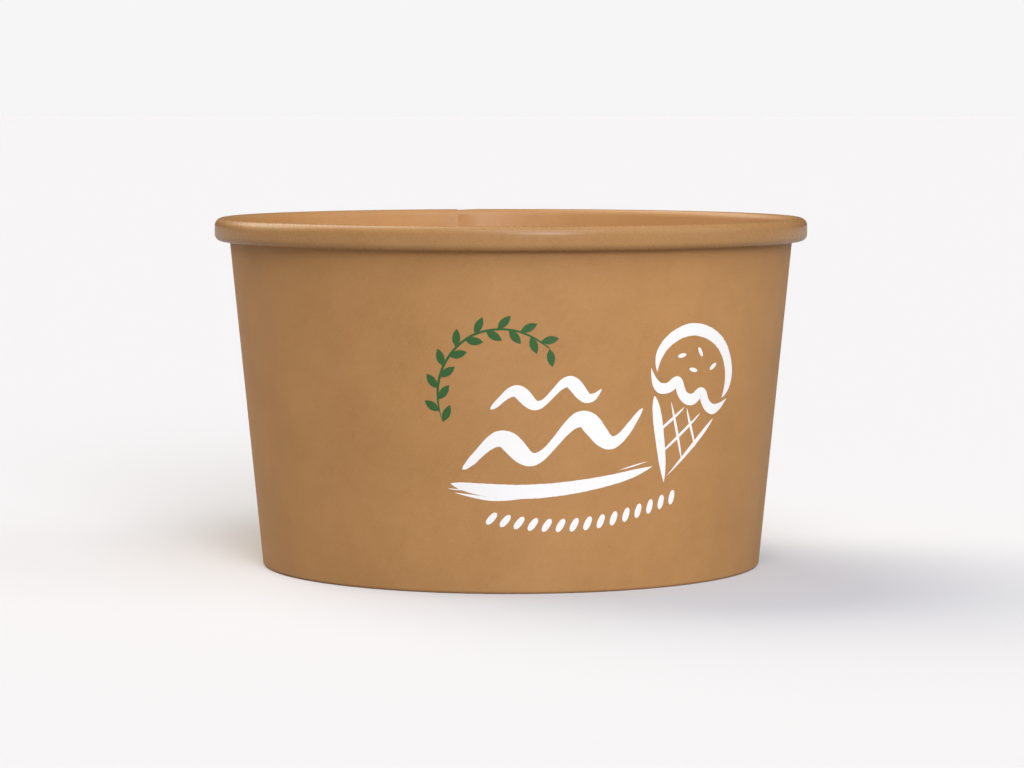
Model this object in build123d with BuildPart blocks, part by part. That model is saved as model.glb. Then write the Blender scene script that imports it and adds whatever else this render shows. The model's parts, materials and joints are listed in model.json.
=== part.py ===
from build123d import *

import os
from math import asin, atan, cos, degrees, sin, sqrt

# Round paperboard ice cream tub, in millimetres: +Z is up and the origin is the centre of
# the circle it stands on. It is two formed pieces of board. The side wall is one sheet wound
# into a cone: its edges overlap in a glued side seam, its top edge is curled outwards into
# the rim, and its foot is turned in and up to trap the skirt of the base. The base is one
# disc pressed into a shallow inverted tray.

# Overall sizes
rim_diameter = 95.0  # across the rolled rim
base_diameter = 80.0  # across the foot, where the cone meets the floor
height = 55.7  # floor to the top of the rim

# Board
wall_board = 0.38  # thickness of the side wall's sheet
base_board = 0.34  # thickness of the base's sheet
glue_gap = 0.03  # between two layers that are glued together

# Rolled rim
rim_height = 3.65  # top of the rim to the underside of the roll
rim_overhang = 2.4  # roll's outer face beyond the wall, at the roll's underside
curl_gap = 0.2  # between the tucked-in end of the roll and the wall
curl_tail = 0.8  # straight end of the sheet, tucked up inside the roll

# Foot
foot_flat = 0.4  # width of the flat ring that the turned-in foot is pressed to
base_recess = 6.6  # floor to the underside of the base
base_bend = 0.9  # outside radius where the base turns down into its skirt
skirt_end = 0.9  # floor to the lower edge of the base's skirt
hem_clearance = 0.2  # between the top of the turned-in foot and the base's bend

# Side seam
seam_azimuth = 106.0  # middle of the overlap, in degrees from +X
seam_lap = 7.0  # width of the overlap, along the rim
seam_ramp = 4.0  # length, along the rim, over which the sheet climbs onto its own start
ramp_steps = 4

# The wall is a cone. Its outer face runs straight from the foot to the roll's underside.
rim_radius = rim_diameter / 2
base_radius = base_diameter / 2
roll_underside = height - rim_height
taper = (rim_radius - rim_overhang - base_radius) / roll_underside
lean = atan(taper)
up_wall = Vector(sin(lean), cos(lean))
inner_foot = base_radius - wall_board / cos(lean)  # radius of the inner face at the floor


def inside_wall(distance, z):
    """Point at height z that lies this distance inside the wall's inner face."""
    return Vector(inner_foot + taper * z - distance / cos(lean), z)


# The fold at the foot wraps the base's skirt, with a glue gap on each side of it. Pressing
# takes the roundness off its lowest line, down to the floor.
fold_radius = base_board / 2 + glue_gap
fold_outside = fold_radius + wall_board
fold_centre = inside_wall(fold_radius, sqrt(fold_outside**2 - (foot_flat / 2) ** 2))

# The roll's top is one arc, tangent to the wall's inner face, the top and the outer face.
roll_width = rim_radius - inside_wall(0, height).X
roll_radius = roll_width * cos(lean) / (1 + cos(lean) - sin(lean))
roll_centre = Vector(rim_radius - roll_radius, height - roll_radius)

# Its lower turn brings the end of the sheet back up along the wall, the curl gap away.
turn_radius = (rim_overhang * cos(lean) - curl_gap) / (1 + cos(lean) + sin(lean))
turn_centre = Vector(rim_radius - turn_radius, roll_underside + turn_radius)

# The base turns down from its flat into a skirt that follows the wall.
base_top = base_recess + base_board
bend_centre = inside_wall(glue_gap + base_bend, base_top - base_bend)
skirt_length = (bend_centre.Y - skirt_end) / cos(lean)
hem_length = (bend_centre.Y - hem_clearance - fold_centre.Y) / cos(lean)

# The seam, as angles about the axis.
lap_angle = degrees(seam_lap / rim_radius)
ramp_angle = degrees(seam_ramp / rim_radius)
lap_start = seam_azimuth - lap_angle / 2


def radial_plane(azimuth):
    """Upright plane through the axis: its x is the radius and its y is the height."""
    return Plane.XZ.rotated((0, 0, azimuth))


def wall_face(climb, depth):
    """One face of the side wall's sheet, from the floor to the end inside the roll.

    climb is how far the sheet has climbed from its inmost layer, and depth is 0 for its
    inner face or its thickness for the outer one. Returns the first and last points.
    """
    lift = climb + depth
    raised = climb / 2  # the foot is pressed, so half of the climb goes upwards
    bend = fold_radius + lift + raised * sin(lean)
    dip = degrees(asin(min(1, (fold_centre.Y + raised) / bend)))
    fold = CenterArc(fold_centre + Vector(0, raised), bend, -dip, dip - degrees(lean))
    roll = CenterArc(roll_centre, roll_radius - lift, 180 - degrees(lean), degrees(lean) - 180)
    turn = CenterArc(turn_centre, turn_radius - lift, 0, -180 - degrees(lean))
    tail = Line(turn @ 1, turn @ 1 + up_wall * curl_tail)
    Line(fold @ 1, roll @ 0)
    Line(roll @ 1, turn @ 0)
    return fold @ 0, tail @ 1


def hem_face(climb, depth):
    """One face of the turned-in foot, from the floor to the top of the hem."""
    bend = fold_radius + depth
    dip = degrees(asin(min(1, fold_centre.Y / bend)))
    fold = CenterArc(fold_centre, bend, dip - 180, -dip - degrees(lean))
    hem = Line(fold @ 1, fold @ 1 + up_wall * hem_length)
    return fold @ 0, hem @ 1


def sheet_section(face, climb):
    """Section of the side wall's sheet, or of its hem, flat where it meets the floor."""
    with BuildLine() as outline:
        inner = face(climb, 0)
        outer = face(climb, wall_board)
        Polyline(inner[0], (fold_centre.X, 0), outer[0])
        Line(inner[1], outer[1])
    make_face(outline.edges())


with BuildPart() as side_wall:
    # Most of the turn is one plain layer, with its foot turned in to a hem.
    with BuildSketch(radial_plane(lap_start)):
        sheet_section(wall_face, 0)
        sheet_section(hem_face, 0)
    revolve(axis=Axis.Z, revolution_arc=360 - ramp_angle)

    # Short of its own start the sheet has no hem, and it climbs by its thickness.
    for step in range(ramp_steps + 1):
        climbed = step / ramp_steps
        with BuildSketch(radial_plane(lap_start - ramp_angle * (1 - climbed))):
            sheet_section(wall_face, wall_board * climbed)
    loft(ruled=True)

    # It laps over that start.
    with BuildSketch(radial_plane(lap_start)):
        sheet_section(wall_face, wall_board)
    revolve(axis=Axis.Z, revolution_arc=lap_angle)

with BuildPart() as base:
    with BuildSketch(Plane.XZ):
        with BuildLine():
            top_bend = CenterArc(bend_centre, base_bend, 90, -90 - degrees(lean))
            skirt_face = Line(top_bend @ 1, top_bend @ 1 - up_wall * skirt_length)
            under_bend = CenterArc(bend_centre, base_bend - base_board, 90, -90 - degrees(lean))
            skirt_back = Line(under_bend @ 1, under_bend @ 1 - up_wall * skirt_length)
            Line(skirt_face @ 1, skirt_back @ 1)
            Polyline(under_bend @ 0, (0, base_recess), (0, base_top), top_bend @ 0)
        make_face()
    revolve(axis=Axis.Z)

os.makedirs("parts", exist_ok=True)
side_wall.part.label = "side_wall"
base.part.label = "base"
export_step(side_wall.part, "parts/side_wall.step")
export_step(base.part, "parts/base.step")
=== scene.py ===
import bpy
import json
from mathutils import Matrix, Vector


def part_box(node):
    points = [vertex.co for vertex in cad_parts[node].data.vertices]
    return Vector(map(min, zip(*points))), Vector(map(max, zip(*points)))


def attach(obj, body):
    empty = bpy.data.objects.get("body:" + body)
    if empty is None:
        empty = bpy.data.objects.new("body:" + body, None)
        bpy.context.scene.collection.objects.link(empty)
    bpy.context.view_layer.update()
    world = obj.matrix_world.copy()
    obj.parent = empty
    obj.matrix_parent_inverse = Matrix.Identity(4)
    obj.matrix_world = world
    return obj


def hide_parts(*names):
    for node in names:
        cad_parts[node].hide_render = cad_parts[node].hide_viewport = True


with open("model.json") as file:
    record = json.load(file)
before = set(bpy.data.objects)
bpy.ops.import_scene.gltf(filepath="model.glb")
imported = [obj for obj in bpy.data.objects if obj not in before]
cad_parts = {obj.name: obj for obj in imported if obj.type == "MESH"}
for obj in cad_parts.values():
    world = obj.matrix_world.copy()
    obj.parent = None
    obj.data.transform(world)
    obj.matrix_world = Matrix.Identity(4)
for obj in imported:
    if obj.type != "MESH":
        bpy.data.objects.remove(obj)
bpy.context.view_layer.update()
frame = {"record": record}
print("frame loaded")

import json
import math

import bpy
from mathutils import Vector


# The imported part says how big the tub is. Everything here is in metres.

mounts = {mount["name"]: mount for mount in frame["record"]["mounts"]}
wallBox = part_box("side_wall")
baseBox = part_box("base")

tub = {
    "rimRadius": mounts["rim"]["dims"]["r_mm"] / 1000,
    "height": wallBox[1].z,
    "board": 0.00038,  # thickness of the side wall's sheet
    "glueGap": 0.00003,
    "rimHeight": 0.00365,
    "rimOverhang": 0.0024,
    "curlGap": 0.0002,
    "curlTail": 0.0008,
    "footRadius": 0.040,  # outer face of the wall, at the floor
    "footFlat": 0.0004,
    "hemClearance": 0.0002,
    "ribCount": 128,  # pressed ribs round the hem
    "ribDepth": 0.00012,
    "columns": 768,
}

seam = {
    "azimuth": math.radians(106.0),  # middle of the overlap
    "lap": 0.0070,
    "ramp": 0.0040,  # length over which the sheet climbs onto its own start
    "glue": 0.00001,
    "footLift": 0.1,  # share of the climb by which the lap's foot clears the floor
}

base = {
    "board": 0.00034,
    "top": baseBox[1].z,
    "skirtEnd": baseBox[0].z,
    "bend": 0.0009,
    "columns": 360,
}

taper = (tub["rimRadius"] - tub["rimOverhang"] - tub["footRadius"]) / (
    tub["height"] - tub["rimHeight"]
)
lean = math.atan(taper)
outward = Vector((math.cos(lean), -math.sin(lean)))
upWall = Vector((math.sin(lean), math.cos(lean)))


# Small helpers for building node trees


def addNode(tree, kind, inputs=None, **settings):
    node = tree.nodes.new(kind)
    for name, value in settings.items():
        setattr(node, name, value)
    for key, value in (inputs or {}).items():
        if isinstance(value, bpy.types.NodeSocket):
            tree.links.new(value, node.inputs[key])
        else:
            node.inputs[key].default_value = value
    return node


def maths(tree, operation, a, b=0.0, c=0.0):
    return addNode(tree, "ShaderNodeMath", {0: a, 1: b, 2: c}, operation=operation).outputs[0]


def vectorMaths(tree, operation, a, b):
    return addNode(tree, "ShaderNodeVectorMath", {0: a, 1: b}, operation=operation).outputs[0]


def scaled(tree, vector, factor):
    return addNode(
        tree, "ShaderNodeVectorMath", {"Vector": vector, "Scale": factor}, operation="SCALE"
    ).outputs[0]


def separated(tree, vector):
    return addNode(tree, "ShaderNodeSeparateXYZ", {0: vector}).outputs


def combined(tree, x=0.0, y=0.0, z=0.0):
    return addNode(tree, "ShaderNodeCombineXYZ", {0: x, 1: y, 2: z}).outputs[0]


def turned(tree, vector, angle):
    return addNode(
        tree, "ShaderNodeVectorRotate", {"Vector": vector, "Angle": angle}, rotation_type="Z_AXIS"
    ).outputs[0]


def remapped(tree, value, fromRange=(0.0, 1.0), toRange=(0.0, 1.0), curve="LINEAR"):
    ends = {
        "From Min": fromRange[0],
        "From Max": fromRange[1],
        "To Min": toRange[0],
        "To Max": toRange[1],
    }
    return addNode(
        tree, "ShaderNodeMapRange", {"Value": value} | ends, interpolation_type=curve
    ).outputs[0]


def mixedColour(tree, factor, a, b):
    return addNode(tree, "ShaderNodeMix", {0: factor, 6: a, 7: b}, data_type="RGBA").outputs[2]


def mixedValue(tree, factor, a, b):
    return addNode(tree, "ShaderNodeMix", {0: factor, 2: a, 3: b}).outputs[0]


def newTree(name, kind, inputs, outputs):
    tree = bpy.data.node_groups.new(name, kind)
    for label, (socketKind, value) in inputs.items():
        socket = tree.interface.new_socket(
            label, in_out="INPUT", socket_type="NodeSocket" + socketKind
        )
        if value is not None:
            socket.default_value = value
    for label, socketKind in outputs.items():
        tree.interface.new_socket(
            label, in_out="OUTPUT", socket_type="NodeSocket" + socketKind
        )
    given = addNode(tree, "NodeGroupInput").outputs
    return tree, given, addNode(tree, "NodeGroupOutput").inputs


def position(tree):
    return addNode(tree, "GeometryNodeInputPosition").outputs[0]


def attribute(tree, name, kind="FLOAT_VECTOR"):
    return addNode(
        tree, "GeometryNodeInputNamedAttribute", {"Name": name}, data_type=kind
    ).outputs[0]


def store(tree, geometry, name, value, kind="FLOAT_VECTOR", domain="POINT"):
    return addNode(
        tree,
        "GeometryNodeStoreNamedAttribute",
        {"Geometry": geometry, "Name": name, "Value": value},
        data_type=kind,
        domain=domain,
    ).outputs[0]


def moved(tree, geometry, where):
    return addNode(
        tree, "GeometryNodeSetPosition", {"Geometry": geometry, "Position": where}
    ).outputs[0]


def welded(tree, geometry, distance):
    return addNode(
        tree, "GeometryNodeMergeByDistance", {"Geometry": geometry, "Distance": distance}
    ).outputs[0]


def joined(tree, *parts):
    node = addNode(tree, "GeometryNodeJoinGeometry")
    for part in parts:
        tree.links.new(part, node.inputs[0])
    return node.outputs[0]


def objectOf(tree, socket):
    return addNode(tree, "GeometryNodeObjectInfo", {"Object": socket}).outputs["Geometry"]


def placed(name, data):
    made = bpy.data.objects.new(name, data)
    bpy.context.scene.collection.objects.link(made)
    return made


def runTree(name, tree, values):
    start = placed(name + "Start", bpy.data.meshes.new(name + "Start"))
    modifier = start.modifiers.new("shape", "NODES")
    modifier.node_group = tree
    for item in tree.interface.items_tree:
        if item.name in values and item.in_out == "INPUT":
            modifier[item.identifier] = values[item.name]
    shaped = start.evaluated_get(bpy.context.evaluated_depsgraph_get())
    piece = placed(name, bpy.data.meshes.new_from_object(shaped))
    piece.data.name = name
    bpy.data.objects.remove(start)
    print(name, "has", len(piece.data.polygons), "faces")
    return piece


# Node trees that shape the board

weldDistance = 1e-7  # points closer than this are one point
creaseAngle = 0.7  # sharper edges aren't shaded smooth


def thickenTree():
    tree, given, result = newTree(
        "thicken",
        "GeometryNodeTree",
        {
            "Geometry": ("Geometry", None),
            "Face": ("Material", None),
            "Back": ("Material", None),
            "Cut": ("Material", None),
        },
        {"Geometry": "Geometry"},
    )
    grown = addNode(
        tree,
        "GeometryNodeExtrudeMesh",
        {"Mesh": given["Geometry"], "Offset Scale": 0.0, "Individual": False},
        mode="FACES",
    )
    back = addNode(
        tree,
        "GeometryNodeSetPosition",
        {
            "Geometry": grown.outputs["Mesh"],
            "Selection": grown.outputs["Top"],
            "Offset": attribute(tree, "thickness"),
        },
    ).outputs[0]
    # which finish a face takes: 0 on the drawn face, 1 on the back, 2 on a cut edge
    finish = maths(tree, "MULTIPLY_ADD", grown.outputs["Side"], 2.0, grown.outputs["Top"])
    marked = store(tree, back, "finish", finish, "FLOAT", "FACE")
    face = addNode(tree, "GeometryNodeFlipFaces", {"Mesh": given["Geometry"]}).outputs[0]
    closed = welded(tree, joined(tree, face, marked), weldDistance)
    # no point lies below its own stored "lowest", which reads 0 where none is stored
    x, y, z = separated(tree, position(tree))
    kept = maths(tree, "MAXIMUM", z, attribute(tree, "lowest", "FLOAT"))
    pressed = moved(tree, closed, combined(tree, x, y, kept))
    smooth = addNode(
        tree, "GeometryNodeSetShadeSmooth", {"Geometry": pressed, "Shade Smooth": True}
    ).outputs[0]
    bent = addNode(tree, "GeometryNodeInputMeshEdgeAngle").outputs[0]
    creased = addNode(
        tree,
        "GeometryNodeSetShadeSmooth",
        {
            "Geometry": smooth,
            "Selection": maths(tree, "GREATER_THAN", bent, creaseAngle),
            "Shade Smooth": False,
        },
        domain="EDGE",
    ).outputs[0]
    finished = addNode(tree, "GeometryNodeRealizeInstances", {"Geometry": creased}).outputs[0]
    for number, finishName in enumerate(("Face", "Back", "Cut")):
        chosen = maths(tree, "COMPARE", attribute(tree, "finish", "FLOAT"), float(number), 0.1)
        finished = addNode(
            tree,
            "GeometryNodeSetMaterial",
            {"Geometry": finished, "Selection": chosen, "Material": given[finishName]},
        ).outputs[0]
    tree.links.new(finished, result[0])
    return tree


thicken = thickenTree()


def thickened(tree, geometry, face, back, cut):
    return addNode(
        tree,
        "GeometryNodeGroup",
        {"Geometry": geometry, "Face": face, "Back": back, "Cut": cut},
        node_tree=thicken,
    ).outputs[0]


def woundBoardTree():
    tree, given, result = newTree(
        "woundBoard",
        "GeometryNodeTree",
        {
            "Profile": ("Object", None),
            "Board": ("Float", 0.00038),
            "Glue": ("Float", 0.00001),
            "Start": ("Float", 0.0),
            "Lap": ("Float", 0.0),
            "Ramp": ("Float", 0.1),
            "Foot Lift": ("Float", 0.1),
            "Columns": ("Int", 360),
            "Rib Count": ("Int", 0),
            "Rib Depth": ("Float", 0.0),
            "Map Radius": ("Float", 0.0425),
            "Face": ("Material", None),
            "Back": ("Material", None),
            "Cut": ("Material", None),
        },
        {"Geometry": "Geometry"},
    )
    profile = objectOf(tree, given["Profile"])
    rows = addNode(
        tree, "GeometryNodeAttributeDomainSize", {"Geometry": profile}
    ).outputs["Point Count"]
    grid = addNode(
        tree,
        "GeometryNodeMeshGrid",
        {"Size X": 1.0, "Size Y": 1.0, "Vertices X": given["Columns"], "Vertices Y": rows},
    ).outputs["Mesh"]
    column, row = separated(tree, position(tree))[:2]
    winding = maths(tree, "ADD", given["Lap"], math.tau)
    angle = maths(tree, "MULTIPLY", maths(tree, "ADD", column, 0.5), winding)
    lastRow = maths(tree, "SUBTRACT", rows, 1.0)
    rowPlace = maths(tree, "MULTIPLY", maths(tree, "ADD", row, 0.5), lastRow)
    rowNumber = addNode(
        tree, "FunctionNodeFloatToInt", {0: rowPlace}, rounding_mode="ROUND"
    ).outputs[0]

    def onProfile(value, kind="FLOAT"):
        node = addNode(tree, "GeometryNodeSampleIndex", data_type=kind, domain="POINT")
        tree.links.new(profile, node.inputs["Geometry"])
        tree.links.new(value, node.inputs["Value"])
        tree.links.new(rowNumber, node.inputs["Index"])
        return node.outputs[0]

    point = onProfile(position(tree), "FLOAT_VECTOR")
    across = onProfile(attribute(tree, "across"), "FLOAT_VECTOR")
    climbShare, ribShare, foldShare, along = (
        onProfile(attribute(tree, name, "FLOAT"))
        for name in ("climbs", "ribbed", "folded", "along")
    )

    # the sheet climbs along the ramp, then laps over its own start
    climb = remapped(
        tree,
        angle,
        (maths(tree, "SUBTRACT", math.tau, given["Ramp"]), math.tau),
        (0.0, maths(tree, "ADD", given["Board"], given["Glue"])),
        "SMOOTHSTEP",
    )
    wave = maths(tree, "SINE", maths(tree, "MULTIPLY", angle, given["Rib Count"]))
    ribHeight = maths(tree, "MULTIPLY_ADD", wave, 0.5, 0.5)
    rib = maths(tree, "MULTIPLY", ribHeight, given["Rib Depth"])
    lift = maths(
        tree,
        "ADD",
        maths(tree, "MULTIPLY", climb, climbShare),
        maths(tree, "MULTIPLY", rib, ribShare),
    )
    x, y, z = separated(tree, vectorMaths(tree, "ADD", point, scaled(tree, across, lift)))
    standing = combined(tree, x, y, maths(tree, "MAXIMUM", z, 0.0))
    lowest = maths(tree, "MULTIPLY", climb, given["Foot Lift"])
    azimuth = maths(tree, "ADD", angle, given["Start"])

    mapped = combined(tree, maths(tree, "MULTIPLY", angle, given["Map Radius"]), along)
    board = scaled(tree, across, given["Board"])
    sheet = store(tree, grid, "sheetMap", mapped, "FLOAT2", "CORNER")
    sheet = store(tree, sheet, "thickness", turned(tree, board, azimuth))
    sheet = store(tree, sheet, "folded", foldShare, "FLOAT")
    sheet = store(tree, sheet, "lowest", lowest, "FLOAT")
    wound = moved(tree, sheet, turned(tree, standing, azimuth))
    whole = welded(tree, wound, weldDistance)
    solid = thickened(tree, whole, given["Face"], given["Back"], given["Cut"])
    tree.links.new(solid, result[0])
    return tree


woundBoard = woundBoardTree()


# Profiles: one face of the board, as points that know the way to its other face

steps = {"hem": 6, "fold": 14, "wall": 14, "roll": 14, "turn": 12, "flat": 9, "bend": 8}
climbs = {
    "hem": 0.06,  # share of the sheet's climb that each part takes
    "foot": 1.35,  # how fast the outer half of the foot's fold takes it up
    "roll": 0.3,
    "rollSteps": 5,  # steps over which the roll is pressed from the wall's share to its own
}
folded = {"fold": 1.0, "roll": 0.7, "rollSteps": 6, "baseBend": 0.6}  # for the looks
ribFade = (1.5, 2.0)  # steps over which the ribs fade in, and out again


def profilePoint(at, across, climb=0.0, rib=0.0, fold=0.0):
    return {"at": at, "across": across, "climbs": climb, "ribbed": rib, "folded": fold}


def arc(centre, radius, start, end, count, inside):
    points = []
    for step in range(count + 1):
        angle = math.radians(start + (end - start) * step / count)
        ray = Vector((math.cos(angle), math.sin(angle)))
        points.append((centre + ray * radius, -ray if inside else ray))
    return points


def profileObject(name, points):
    mesh = bpy.data.meshes.new(name)
    mesh.from_pydata(
        [(p["at"].x, 0.0, p["at"].y) for p in points],
        [(i, i + 1) for i in range(len(points) - 1)],
        [],
    )
    across = mesh.attributes.new("across", "FLOAT_VECTOR", "POINT")
    for i, p in enumerate(points):
        across.data[i].vector = (p["across"].x, 0.0, p["across"].y)
    for key in ("climbs", "ribbed", "folded", "along"):
        values = mesh.attributes.new(key, "FLOAT", "POINT")
        for i, p in enumerate(points):
            values.data[i].value = p[key]
    return placed(name, mesh)


def measured(points):
    total = 0.0
    for i, p in enumerate(points):
        total += (p["at"] - points[i - 1]["at"]).length if i else 0.0
        p["along"] = total
    return points


def innerWall(distance, z):
    inner = tub["footRadius"] - (tub["board"] + distance) / math.cos(lean)
    return Vector((inner + taper * z, z))


def wallProfile():
    leanDegrees = math.degrees(lean)
    foldIn = base["board"] / 2 + tub["glueGap"]
    foldRise = math.sqrt((foldIn + tub["board"]) ** 2 - (tub["footFlat"] / 2) ** 2)
    foldCentre = innerWall(foldIn, foldRise)
    hemTop = base["top"] - base["bend"] - tub["hemClearance"]
    hemLength = (hemTop - foldRise) / math.cos(lean)
    rollWidth = tub["rimRadius"] - innerWall(0, tub["height"]).x
    rollRadius = rollWidth * math.cos(lean) / (1 + math.cos(lean) - math.sin(lean))
    rollCentre = Vector((tub["rimRadius"] - rollRadius, tub["height"] - rollRadius))
    turnRadius = (tub["rimOverhang"] * math.cos(lean) - tub["curlGap"]) / (
        1 + math.cos(lean) + math.sin(lean)
    )
    turnCentre = Vector(
        (tub["rimRadius"] - turnRadius, tub["height"] - tub["rimHeight"] + turnRadius)
    )
    fold = arc(foldCentre, foldIn, 180 - leanDegrees, 360 - leanDegrees, steps["fold"], False)
    roll = arc(rollCentre, rollRadius, 180 - leanDegrees, 0, steps["roll"], True)
    turn = arc(turnCentre, turnRadius, 0, -180 - leanDegrees, steps["turn"], True)

    points = []
    for step in range(steps["hem"]):
        reach = hemLength * (1 - step / steps["hem"])
        rib = min(1.0, step / ribFade[0]) * min(1.0, (steps["hem"] - step) / ribFade[1])
        at = fold[0][0] + upWall * reach
        points.append(profilePoint(at, -outward, climbs["hem"], rib))
    for at, across in fold:
        down = max(-across.y, 0.01)  # 1 on the fold's lowest line
        if across.x > 0:
            climb = min(1.0, climbs["foot"] * (1 / down - 1))
        else:
            climb = climbs["hem"] * (1 - down)
        points.append(profilePoint(at, across, climb, fold=folded["fold"]))
    for step in range(1, steps["wall"]):
        at = fold[-1][0].lerp(roll[0][0], step / steps["wall"])
        points.append(profilePoint(at, outward.copy(), 1.0))
    for i, (at, across) in enumerate(roll):
        climb = max(climbs["roll"], 1 - i / climbs["rollSteps"])
        foldShare = folded["roll"] * min(1, i / folded["rollSteps"])
        points.append(profilePoint(at, across, climb, fold=foldShare))
    for at, across in turn:
        points.append(profilePoint(at, across, climbs["roll"], fold=folded["roll"]))
    tailEnd = turn[-1][0] + upWall * tub["curlTail"]
    points.append(profilePoint(tailEnd, outward.copy(), climbs["roll"]))
    return measured(points)


def baseProfile():
    bendCentre = innerWall(tub["glueGap"] + base["bend"], base["top"] - base["bend"])
    bend = arc(bendCentre, base["bend"], 90, -math.degrees(lean), steps["bend"], True)
    points = []
    for step in range(steps["flat"]):
        at = Vector((bendCentre.x * step / steps["flat"], base["top"]))
        points.append(profilePoint(at, Vector((0, -1))))
    points += [profilePoint(at, across, fold=folded["baseBend"]) for at, across in bend]
    skirt = (bend[-1][0].y - base["skirtEnd"]) / math.cos(lean)
    for share in (0.5, 1.0):
        points.append(profilePoint(bend[-1][0] - upWall * skirt * share, -outward))
    return measured(points)


# Materials

fibres = {
    "layers": ((0.15, 0.0), (1.25, 3.1), (-0.8, 7.7), (2.2, 5.3)),  # angle and shift of each
    "scale": 0.6,
    "band": (1.55, 2.45),
    "mottleScale": 95.0,
    "mottleBand": (0.28, 0.72),
    "mottleHeight": 0.35,
    "fleckFrom": 0.93,  # cells whose random value is above this hold a fleck
    "fleckEdge": (0.26, 0.12),
}


def boardFibreGroup():
    group, given, result = newTree(
        "boardFibre",
        "ShaderNodeTree",
        {
            "Vector": ("Vector", None),
            "Fibre Length": ("Float", 0.0022),
            "Fibre Width": ("Float", 0.00016),
            "Fleck Size": ("Float", 0.0011),
        },
        {"Fibre": "Float", "Mottle": "Float", "Fleck": "Float", "Height": "Float"},
    )
    fibre = None
    for angle, shift in fibres["layers"]:
        spun = addNode(
            group,
            "ShaderNodeMapping",
            {"Vector": given["Vector"], "Rotation": (0, 0, angle), "Location": (shift, shift, 0)},
        ).outputs[0]
        x, y, z = separated(group, spun)
        drawn = combined(
            group,
            maths(group, "DIVIDE", x, given["Fibre Length"]),
            maths(group, "DIVIDE", y, given["Fibre Width"]),
            maths(group, "DIVIDE", z, given["Fibre Width"]),
        )
        hair = addNode(
            group,
            "ShaderNodeTexNoise",
            {"Vector": drawn, "Scale": fibres["scale"], "Detail": 2.0, "Roughness": 0.55},
        ).outputs[0]
        fibre = hair if fibre is None else maths(group, "ADD", fibre, hair)
    spread = remapped(group, fibre, fibres["band"])
    broad = addNode(
        group,
        "ShaderNodeTexNoise",
        {
            "Vector": given["Vector"],
            "Scale": fibres["mottleScale"],
            "Detail": 5.0,
            "Roughness": 0.62,
        },
    ).outputs[0]
    mottle = remapped(group, broad, fibres["mottleBand"])
    cells = addNode(
        group,
        "ShaderNodeTexVoronoi",
        {
            "Vector": given["Vector"],
            "Scale": maths(group, "DIVIDE", 1.0, given["Fleck Size"]),
            "Randomness": 1.0,
        },
    ).outputs
    cellValue = addNode(group, "ShaderNodeSeparateColor", {0: cells["Color"]}).outputs[0]
    picked = maths(group, "GREATER_THAN", cellValue, fibres["fleckFrom"])
    spot = remapped(group, cells["Distance"], fibres["fleckEdge"])
    height = maths(group, "MULTIPLY_ADD", mottle, fibres["mottleHeight"], spread)
    group.links.new(spread, result["Fibre"])
    group.links.new(mottle, result["Mottle"])
    group.links.new(maths(group, "MULTIPLY", picked, spot), result["Fleck"])
    group.links.new(height, result["Height"])
    return group


boardFibre = boardFibreGroup()


def newMaterial(name):
    made = bpy.data.materials.new(name)
    made.use_nodes = True
    return made, made.node_tree, made.node_tree.nodes["Principled BSDF"]


def fibreOn(tree, place):
    node = addNode(tree, "ShaderNodeGroup", node_tree=boardFibre)
    tree.links.new(place, node.inputs["Vector"])
    return node.outputs


def objectPlace(tree):
    return addNode(tree, "ShaderNodeTexCoord").outputs["Object"]


def dress(tree, surface, colour, rough, height, look):
    bump = addNode(
        tree,
        "ShaderNodeBump",
        {"Strength": look["bump"], "Distance": look["bumpDepth"], "Height": height},
    ).outputs[0]
    tree.links.new(colour, surface.inputs["Base Color"])
    tree.links.new(rough, surface.inputs["Roughness"])
    tree.links.new(bump, surface.inputs["Normal"])


def boardMaterial(name, look):
    made, tree, surface = newMaterial(name)
    if look["map"] == "sheet":
        place = addNode(tree, "ShaderNodeUVMap", uv_map="sheetMap").outputs[0]
    else:
        place = objectPlace(tree)
    fibre = fibreOn(tree, place)
    foldHere = addNode(tree, "ShaderNodeAttribute", attribute_name="folded").outputs["Fac"]
    showing = maths(tree, "MULTIPLY", fibre["Fibre"], look["fibreShow"])
    spotted = maths(tree, "MULTIPLY", fibre["Fleck"], look["fleckShow"])
    worn = maths(tree, "MULTIPLY", foldHere, fibre["Mottle"])
    rubbed = maths(tree, "MULTIPLY", worn, look["foldShow"])
    colour = mixedColour(tree, fibre["Mottle"], (*look["deep"], 1), (*look["pale"], 1))
    colour = mixedColour(tree, showing, colour, (*look["fibre"], 1))
    colour = mixedColour(tree, spotted, colour, (*look["fleck"], 1))
    colour = mixedColour(tree, rubbed, colour, (*look["fibre"], 1))
    # rougher away from the folds, and as it is where the board is rolled; paler there too, which
    # is painted light standing in for the brighter light inside the tub
    perFold = 1 / folded["roll"]
    paintedInsideLight = maths(tree, "MULTIPLY_ADD", foldHere, (1 - look["inside"]) * perFold, look["inside"])
    colour = vectorMaths(tree, "MULTIPLY", colour, combined(tree, paintedInsideLight, paintedInsideLight, paintedInsideLight))
    rougher = maths(
        tree, "MULTIPLY_ADD", foldHere, -look["insideRough"] * perFold, look["insideRough"]
    )
    rough = maths(tree, "ADD", remapped(tree, fibre["Fibre"], toRange=look["rough"]), rougher)
    dress(tree, surface, colour, rough, fibre["Height"], look)
    surface.inputs["IOR"].default_value = look["ior"]
    surface.inputs["Specular IOR Level"].default_value = look["shine"]
    surface.inputs["Coat Weight"].default_value = look["coat"]
    surface.inputs["Coat Roughness"].default_value = look["coatRough"]
    return made


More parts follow.
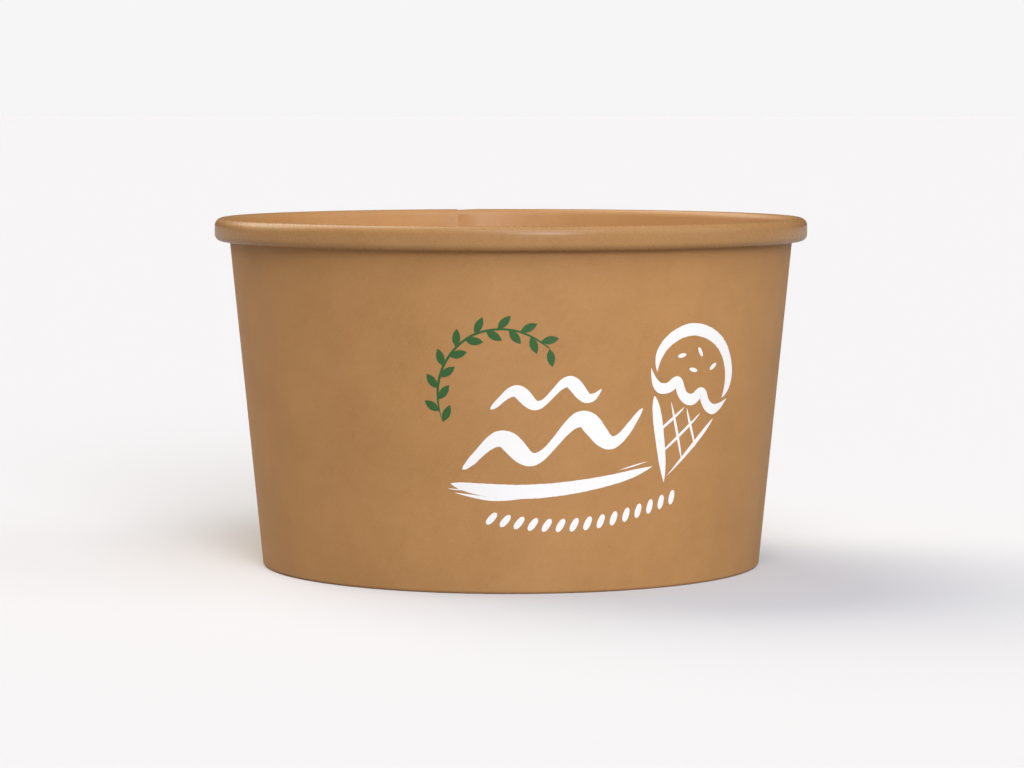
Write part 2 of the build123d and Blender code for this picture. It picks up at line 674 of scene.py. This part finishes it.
kraftLook = {
    "map": "sheet",
    "deep": (0.416, 0.201, 0.064),
    "pale": (0.480, 0.238, 0.080),
    "fibre": (0.56, 0.312, 0.126),
    "fleck": (0.24, 0.105, 0.033),
    "fibreShow": 0.30,
    "fleckShow": 0.16,
    "foldShow": 0.25,
    "inside": 1.0,  # painted light: how much paler the board is made away from its folds and curls, for the brighter light inside the tub
    "insideRough": 0.0,  # how much rougher it is there
    "rough": (0.46, 0.60),
    "bump": 0.35,
    "bumpDepth": 0.00004,
    "ior": 1.45,
    "shine": 0.32,
    "coat": 0.0,
    "coatRough": 0.22,
}
coatedLook = kraftLook | {
    "deep": (0.366, 0.187, 0.067),
    "pale": (0.410, 0.213, 0.081),
    # painted light: the coated face is made paler away from the roll, for the brighter light
    # inside the tub
    "inside": 1.24,
    "insideRough": 0.16,
    "fibreShow": 0.18,
    "fleckShow": 0.12,
    "foldShow": 0.0,
    "rough": (0.24, 0.32),
    "bump": 0.14,
    "shine": 0.24,
    "coat": 0.03,
}
cutLook = kraftLook | {
    "deep": (0.42, 0.23, 0.09),
    "pale": (0.55, 0.34, 0.16),
    "fibreShow": 0.5,
    "bump": 0.6,
    "foldShow": 0.0,
}

kraftBoard = boardMaterial("kraftBoard", kraftLook)
coatedBoard = boardMaterial("coatedBoard", coatedLook)
cutBoard = boardMaterial("cutBoard", cutLook)
baseCoated = boardMaterial("baseCoated", coatedLook | {"map": "object"})
basePlain = boardMaterial("basePlain", kraftLook | {"map": "object"})


def inkMaterial(name, look):
    made, tree, surface = newMaterial(name)
    fibre = fibreOn(tree, objectPlace(tree))
    through = maths(tree, "MULTIPLY", fibre["Fibre"], look["thin"])
    colour = mixedColour(tree, through, (*look["colour"], 1), (*look["board"], 1))
    rough = remapped(tree, fibre["Mottle"], toRange=look["rough"])
    dress(tree, surface, colour, rough, fibre["Height"], look)
    return made


whiteLook = {
    "colour": (0.95, 0.93, 0.88),
    "thin": 0.04,  # how much of the board shows through along its fibres
    "board": (0.47, 0.26, 0.10),
    "rough": (0.54, 0.66),
    "bump": 0.25,
    "bumpDepth": 0.00003,
}
greenLook = whiteLook | {"colour": (0.012, 0.105, 0.018), "thin": 0.07}

whiteInk = inkMaterial("whiteInk", whiteLook)
greenInk = inkMaterial("greenInk", greenLook)
print("materials made")


# The two pieces of board

wallLine = profileObject("wallLine", wallProfile())
sideWall = runTree(
    "sideWall",
    woundBoard,
    {
        "Profile": wallLine,
        "Board": tub["board"],
        "Glue": seam["glue"],
        "Start": seam["azimuth"] - seam["lap"] / tub["rimRadius"] / 2,
        "Lap": seam["lap"] / tub["rimRadius"],
        "Ramp": seam["ramp"] / tub["rimRadius"],
        "Foot Lift": seam["footLift"],
        "Columns": tub["columns"],
        "Rib Count": tub["ribCount"],
        "Rib Depth": tub["ribDepth"],
        "Face": coatedBoard,
        "Back": kraftBoard,
        "Cut": cutBoard,
    },
)
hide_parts("side_wall")
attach(sideWall, "root")

baseLine = profileObject("baseLine", baseProfile())
pressedBase = runTree(
    "pressedBase",
    woundBoard,
    {
        "Profile": baseLine,
        "Board": base["board"],
        "Columns": base["columns"] + 1,
        "Face": baseCoated,
        "Back": basePlain,
        "Cut": cutBoard,
    },
)
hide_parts("base")
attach(pressedBase, "root")
bpy.data.objects.remove(wallLine)
bpy.data.objects.remove(baseLine)
print("board pieces made")


# Printed decoration: brush strokes drawn flat, then wrapped on the wall.
# A stroke's points are (sideways, height above the floor, half width), in millimetres.

waves = {
    "small": {
        "start": (-14.9, 29.2), "end": (1.9, 31.6), "humps": 2.1, "rise": 1.55, "half": 1.12,
    },
    "bold": {
        "start": (-18.8, 20.6), "end": (8.6, 26.4), "humps": 2.25, "rise": 2.5, "half": 1.58,
    },
}
waveForm = {
    "steps": 90,
    "phase": -0.9,
    "sway": 0.12,  # sideways share of the rise
    "growth": (0.8, 0.25),  # share of the rise at the start, and what it gains by the end
    "weight": (0.68, 0.26, 0.3),  # mean width, its swing, and how far that runs ahead
    "startTaper": (0.05, 0.5),  # share of the length, and power
    "endTaper": (0.07, 0.6),
}
cone = {"turn": -19.0, "about": (18.8, 33.2)}  # degrees, and the point that it leans about
dabRow = {
    "path": [(-14.4, 11.6, 1), (-9.0, 10.6, 1), (-1.0, 10.4, 1), (7.0, 11.7, 1), (14.6, 14.0, 1)],
    "count": 15,
    "lean": 1.05,
    "swing": 0.0,
    "root": 0.0,  # the dab's middle, ahead of its point on the path
    "dab": (1.15, 0.5, 0.45),  # half length, half width, and how sharp its ends are
}
sprig = {
    "path": [
        (-22.2, 26.2, 0.0), (-23.4, 29.4, 0.19), (-22.6, 35.0, 0.2), (-18.8, 39.4, 0.19),
        (-13.6, 40.6, 0.17), (-9.0, 39.4, 0.15), (-6.4, 37.4, 0.1),
    ],
    "count": 17,
    "lean": 0.0,
    "swing": 0.74,
    "root": 1.45,
    "dab": (1.4, 0.62, 1.1),
}
printed = {
    "middle": math.radians(-74.0),  # azimuth of the middle of the print
    "step": 0.0001,
    "roughEdge": 0.16,
    "sunk": 0.00002,
    "film": 0.00004,
}
dabSteps = 16


def wave(look):
    (startX, startZ), (endX, endZ) = look["start"], look["end"]
    firstRise, gain = waveForm["growth"]
    middle, swing, ahead = waveForm["weight"]
    points = []
    for step in range(waveForm["steps"] + 1):
        t = step / waveForm["steps"]
        turn = t * look["humps"] * math.tau + waveForm["phase"]
        rise = look["rise"] * math.sin(turn)
        x = startX + (endX - startX) * t + waveForm["sway"] * rise
        z = startZ + (endZ - startZ) * t + rise * (firstRise + gain * t)
        half = look["half"] * (middle - swing * math.cos(turn + ahead))
        for along, (length, power) in (
            (t, waveForm["startTaper"]),
            (1 - t, waveForm["endTaper"]),
        ):
            half *= min(1.0, (along / length) ** power)
        points.append((x, z, half))
    return points


def dab(look, x=0.0, z=0.0, angle=0.0):
    halfLength, halfWidth, sharp = look
    points = []
    for step in range(dabSteps + 1):
        t = 2 * step / dabSteps - 1
        half = halfWidth * max(0.0, 1 - t * t) ** sharp
        reach = t * halfLength
        points.append((x + math.cos(angle) * reach, z + math.sin(angle) * reach, half))
    return points


def leaned(points):
    angle = math.radians(cone["turn"])
    aboutX, aboutZ = cone["about"]
    return [
        (
            aboutX + (x - aboutX) * math.cos(angle) - (z - aboutZ) * math.sin(angle),
            aboutZ + (x - aboutX) * math.sin(angle) + (z - aboutZ) * math.cos(angle),
            half,
        )
        for x, z, half in points
    ]


sprinkle = (0.85, 0.32, 0.5)
swashes = [
    [(-20.8, 16.9, 0.0), (-19.8, 16.6, 0.55), (-15.5, 15.9, 1.0), (-9.5, 15.6, 1.1),
     (-3.0, 16.1, 1.0), (4.0, 17.2, 0.8), (8.6, 18.3, 0.55), (10.8, 19.0, 0.0)],
    [(-20.2, 15.5, 0.0), (-17.5, 15.0, 0.26), (-13.5, 14.4, 0.3), (-10.0, 14.6, 0.0)],
    [(-21.2, 16.1, 0.0), (-20.0, 15.95, 0.16), (-18.4, 15.9, 0.0)],
    [(5.2, 18.7, 0.0), (7.4, 19.2, 0.2), (9.9, 19.8, 0.0)],
]
scoop = [
    [(11.5, 30.9, 0.0), (10.6, 32.6, 0.6), (11.5, 36.0, 0.85), (14.7, 38.9, 0.95),
     (18.8, 39.6, 0.95), (22.9, 38.7, 0.95), (25.9, 35.8, 0.9), (26.6, 32.6, 0.7),
     (25.8, 30.9, 0.0)],
    [(10.2, 31.2, 0.0), (11.8, 28.6, 0.75), (14.4, 29.0, 0.85), (15.6, 31.2, 0.75),
     (17.2, 28.8, 0.85), (19.6, 28.6, 0.9), (20.9, 31.0, 0.75), (22.6, 28.8, 0.85),
     (25.2, 28.6, 0.8), (27.0, 31.2, 0.0)],
    dab(sprinkle, 15.0, 34.6, 0.5),
    dab(sprinkle, 18.4, 36.2, -0.7),
    dab(sprinkle, 21.9, 34.9, 0.9),
    dab(sprinkle, 18.0, 33.2, 0.1),
]
wafer = [
    [(12.3, 27.4, 0.0), (12.9, 26.4, 0.8), (15.6, 21.6, 0.85), (18.1, 17.0, 0.55),
     (18.8, 15.4, 0.0)],
    [(25.0, 27.4, 0.0), (24.5, 26.4, 0.34), (21.4, 20.8, 0.36), (18.9, 16.4, 0.0)],
    [(15.6, 27.4, 0.0), (16.3, 26.4, 0.22), (20.4, 20.4, 0.22), (20.9, 19.5, 0.0)],
    [(18.9, 27.4, 0.0), (19.5, 26.4, 0.22), (22.3, 23.0, 0.22), (22.8, 22.2, 0.0)],
    [(21.9, 27.4, 0.0), (21.3, 26.4, 0.22), (17.1, 20.2, 0.22), (16.5, 19.2, 0.0)],
    [(18.4, 27.4, 0.0), (17.8, 26.4, 0.22), (15.2, 22.8, 0.22), (14.6, 21.9, 0.0)],
]


def strokeObject(name, strokes, smooth=True):
    curve = bpy.data.curves.new(name, "CURVE")
    curve.dimensions = "3D"
    curve.twist_mode = "Z_UP"
    curve.resolution_u = 24
    for points in strokes:
        spline = curve.splines.new("NURBS" if smooth else "POLY")
        spline.points.add(len(points) - 1)
        for point, (x, z, half) in zip(spline.points, points):
            point.co = (x / 1000, z / 1000, 0.0, 1.0)
            point.radius = half / 1000
        if smooth:
            spline.order_u = 3
            spline.use_endpoint_u = True
    return placed(name, curve)


def wrappedInkTree():
    tree, given, result = newTree(
        "wrappedInk",
        "GeometryNodeTree",
        {
            "Strokes": ("Object", None),
            "Path": ("Object", None),
            "Dab": ("Object", None),
            "Dab Count": ("Int", 12),
            "Dab Lean": ("Float", 0.0),
            "Dab Swing": ("Float", 0.0),
            "Nib Points": ("Int", 5),
            "Step": ("Float", 0.0001),
            "Rough Edge": ("Float", 0.1),
            "Rough Scale": ("Float", 900.0),
            "Weld": ("Float", 0.000002),
            "Middle": ("Float", 0.0),
            "Foot Radius": ("Float", 0.04),
            "Taper": ("Float", 0.1),
            "Sunk": ("Float", 0.00002),
            "Ink Film": ("Float", 0.00004),
            "Layers": ("Float", 7.0),
            "Dab Layer": ("Float", 8.0),
            "Layer Step": ("Float", 0.0000015),
            "Ink": ("Material", None),
            "Seed": ("Int", 4),
        },
        {"Geometry": "Geometry"},
    )
    nib = addNode(
        tree, "GeometryNodeCurvePrimitiveLine", {"Start": (-1, 0, 0), "End": (1, 0, 0)}
    ).outputs[0]
    nibPoints = addNode(
        tree, "GeometryNodeResampleCurve", {"Curve": nib, "Count": given["Nib Points"]}
    ).outputs[0]
    waver = addNode(
        tree,
        "ShaderNodeTexNoise",
        {"W": given["Seed"], "Scale": given["Rough Scale"], "Detail": 1.0},
        noise_dimensions="4D",
    ).outputs[0]
    uneven = maths(tree, "SUBTRACT", waver, 0.5)
    widen = maths(tree, "MULTIPLY_ADD", uneven, given["Rough Edge"], 1.0)
    radius = addNode(tree, "GeometryNodeInputRadius").outputs[0]
    nibSize = maths(tree, "MULTIPLY", radius, widen)

    # strokes lie in layers, so that two that cross don't share a face
    def ribbon(curve, raised):
        order = addNode(tree, "GeometryNodeCurveOfPoint").outputs["Curve Index"]
        layer = maths(tree, "ADD", maths(tree, "MODULO", order, given["Layers"]), raised)
        even = addNode(
            tree,
            "GeometryNodeResampleCurve",
            {"Curve": store(tree, curve, "layer", layer, "FLOAT"), "Length": given["Step"]},
            mode="LENGTH",
        ).outputs[0]
        swept = addNode(
            tree,
            "GeometryNodeCurveToMesh",
            {"Curve": even, "Profile Curve": nibPoints, "Scale": nibSize},
        ).outputs[0]
        return welded(tree, swept, given["Weld"])

    # dabs stand along the path, leaning from it to one side or to each side in turn
    stations = addNode(
        tree,
        "GeometryNodeCurveToPoints",
        {"Curve": objectOf(tree, given["Path"]), "Count": given["Dab Count"]},
    ).outputs
    number = addNode(tree, "GeometryNodeInputIndex").outputs[0]
    side = maths(tree, "MULTIPLY_ADD", maths(tree, "MODULO", number, 2.0), 2.0, -1.0)
    heading = maths(tree, "MULTIPLY_ADD", side, given["Dab Swing"], given["Dab Lean"])
    along = addNode(
        tree,
        "FunctionNodeAlignRotationToVector",
        {"Vector": stations["Tangent"]},
        axis="X",
        pivot_axis="Z",
    ).outputs[0]
    leaning = addNode(
        tree, "FunctionNodeAxisAngleToRotation", {"Axis": (0, 0, 1), "Angle": heading}
    ).outputs[0]
    facing = addNode(
        tree,
        "FunctionNodeRotateRotation",
        {"Rotation": along, "Rotate By": leaning},
        rotation_space="LOCAL",
    ).outputs[0]
    dabs = addNode(
        tree,
        "GeometryNodeInstanceOnPoints",
        {
            "Points": stations["Points"],
            "Instance": ribbon(objectOf(tree, given["Dab"]), given["Dab Layer"]),
            "Rotation": facing,
        },
    ).outputs[0]
    realDabs = addNode(tree, "GeometryNodeRealizeInstances", {"Geometry": dabs}).outputs[0]
    drawn = joined(tree, realDabs, ribbon(objectOf(tree, given["Strokes"]), 0.0))

    # the flat drawing's x runs round the wall, and its y is the height above the floor
    across, height = separated(tree, position(tree))[:2]
    wallRadius = maths(tree, "MULTIPLY_ADD", height, given["Taper"], given["Foot Radius"])
    azimuth = maths(tree, "ADD", maths(tree, "DIVIDE", across, wallRadius), given["Middle"])
    slope = maths(tree, "MULTIPLY", given["Taper"], -1.0)
    straightOut = addNode(
        tree, "ShaderNodeVectorMath", {0: combined(tree, 1.0, 0.0, slope)}, operation="NORMALIZE"
    ).outputs[0]
    onWall = combined(tree, wallRadius, 0.0, height)
    under = vectorMaths(tree, "SUBTRACT", onWall, scaled(tree, straightOut, given["Sunk"]))
    layer = attribute(tree, "layer", "FLOAT")
    film = maths(tree, "MULTIPLY_ADD", layer, given["Layer Step"], given["Ink Film"])
    thickness = turned(tree, scaled(tree, straightOut, film), azimuth)
    marked = store(tree, drawn, "thickness", thickness)
    wrapped = moved(tree, marked, turned(tree, under, azimuth))
    ink = given["Ink"]
    tree.links.new(thickened(tree, wrapped, ink, ink, ink), result[0])
    return tree


wrappedInk = wrappedInkTree()

for name, strokes, smooth, along, ink in (
    ("whiteWaves", [wave(waves["small"]), wave(waves["bold"])], False, None, whiteInk),
    ("whiteSwash", swashes, True, dabRow, whiteInk),
    ("whiteCone", [leaned(points) for points in scoop + wafer], True, None, whiteInk),
    ("greenSprig", [sprig["path"]], True, sprig, greenInk),
):
    values = {
        "Strokes": strokeObject(name + "Lines", strokes, smooth),
        "Step": printed["step"],
        "Rough Edge": printed["roughEdge"],
        "Middle": printed["middle"],
        "Foot Radius": tub["footRadius"],
        "Taper": taper,
        "Sunk": printed["sunk"],
        "Ink Film": printed["film"],
        "Ink": ink,
    }
    if along:
        values["Path"] = strokeObject(name + "Path", [along["path"]])
        values["Dab"] = strokeObject(name + "Dab", [dab(along["dab"], along["root"])], False)
        values["Dab Count"] = along["count"]
        values["Dab Lean"] = along["lean"]
        values["Dab Swing"] = along["swing"]
    piece = runTree(name, wrappedInk, values)
    for value in values.values():
        if isinstance(value, bpy.types.Object):
            bpy.data.objects.remove(value)
    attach(piece, "root")
print("print wrapped")


# Floor, light and camera

studio = {
    "floorHalf": 40,
    "floorColour": 0.69,
    "floorBounce": 0.40,  # how pale the floor is to the light that it throws back up
    "floorRough": 0.9,
    "backdrop": 0.92,  # how bright the sky is to the eye
    "dome": 0.04,  # how bright it is to the object
    "cameraAt": (0.00017, -0.57765, 0.0730),
    "cameraDown": 4.38,  # degrees
    "sensor": 36.0,
    "lens": 126.2,
}
# Each light comes from a turn to the right of the front and a height, in degrees.
lights = {
    "keyLight": {
        "turn": 14, "height": 20, "strength": 1.62, "spread": 22, "colour": (0.97, 1.0, 1.12),
    },
    "upperLight": {
        "turn": 14, "height": 50, "strength": 1.40, "spread": 40, "colour": (0.98, 1.0, 1.08),
    },
    "rightLight": {
        "turn": 78, "height": 25, "strength": 0.55, "spread": 50, "colour": (1.0, 0.98, 0.94),
    },
    "leftEdgeLight": {
        "turn": -112, "height": 22, "strength": 0.62, "spread": 40, "colour": (1.0, 0.86, 0.64),
    },
    "backLight": {
        "turn": -135, "height": 45, "strength": 1.90, "spread": 50, "colour": (1.0, 0.93, 0.80),
    },
    "topLight": {
        "turn": 0, "height": 89, "strength": 0.74, "spread": 80, "colour": (0.97, 1.0, 1.12),
    },
}

edge = studio["floorHalf"]
floorMesh = bpy.data.meshes.new("floor")
floorMesh.from_pydata(
    [(-edge, -edge, 0), (edge, -edge, 0), (edge, edge, 0), (-edge, edge, 0)], [], [(0, 1, 2, 3)]
)
floor = placed("floor", floorMesh)
paleFloor, floorTree, floorSurface = newMaterial("paleFloor")
looked = addNode(floorTree, "ShaderNodeLightPath").outputs["Is Camera Ray"]
floorTone = mixedValue(floorTree, looked, studio["floorBounce"], studio["floorColour"])
floorTree.links.new(floorTone, floorSurface.inputs["Base Color"])
floorSurface.inputs["Roughness"].default_value = studio["floorRough"]
floorSurface.inputs["Specular IOR Level"].default_value = 0.0
floorMesh.materials.append(paleFloor)

world = bpy.data.worlds.new("studioSky")
bpy.context.scene.world = world
world.use_nodes = True
sky = world.node_tree
seen = addNode(sky, "ShaderNodeLightPath").outputs["Is Camera Ray"]
shown = mixedValue(sky, seen, studio["dome"], studio["backdrop"])
sky.links.new(shown, sky.nodes["Background"].inputs["Strength"])
sky.nodes["Background"].inputs["Color"].default_value = (1, 1, 1, 1)

for name, light in lights.items():
    lamp = bpy.data.lights.new(name, "SUN")
    lamp.energy = light["strength"]
    lamp.color = light["colour"]
    lamp.angle = math.radians(light["spread"])
    sun = placed(name, lamp)
    turn, height = math.radians(light["turn"]), math.radians(light["height"])
    towards = Vector(
        (math.sin(turn) * math.cos(height), -math.cos(turn) * math.cos(height), math.sin(height))
    )
    sun.rotation_mode = "QUATERNION"
    sun.rotation_quaternion = towards.to_track_quat("Z", "Y")
    sun.location = towards

lens = bpy.data.cameras.new("camera")
lens.sensor_width = studio["sensor"]
lens.lens = studio["lens"]
camera = placed("camera", lens)
camera.location = studio["cameraAt"]
camera.rotation_euler = (math.radians(90 - studio["cameraDown"]), 0, 0)
bpy.context.scene.camera = camera
bpy.context.scene.view_settings.view_transform = "Standard"
print("studio set")
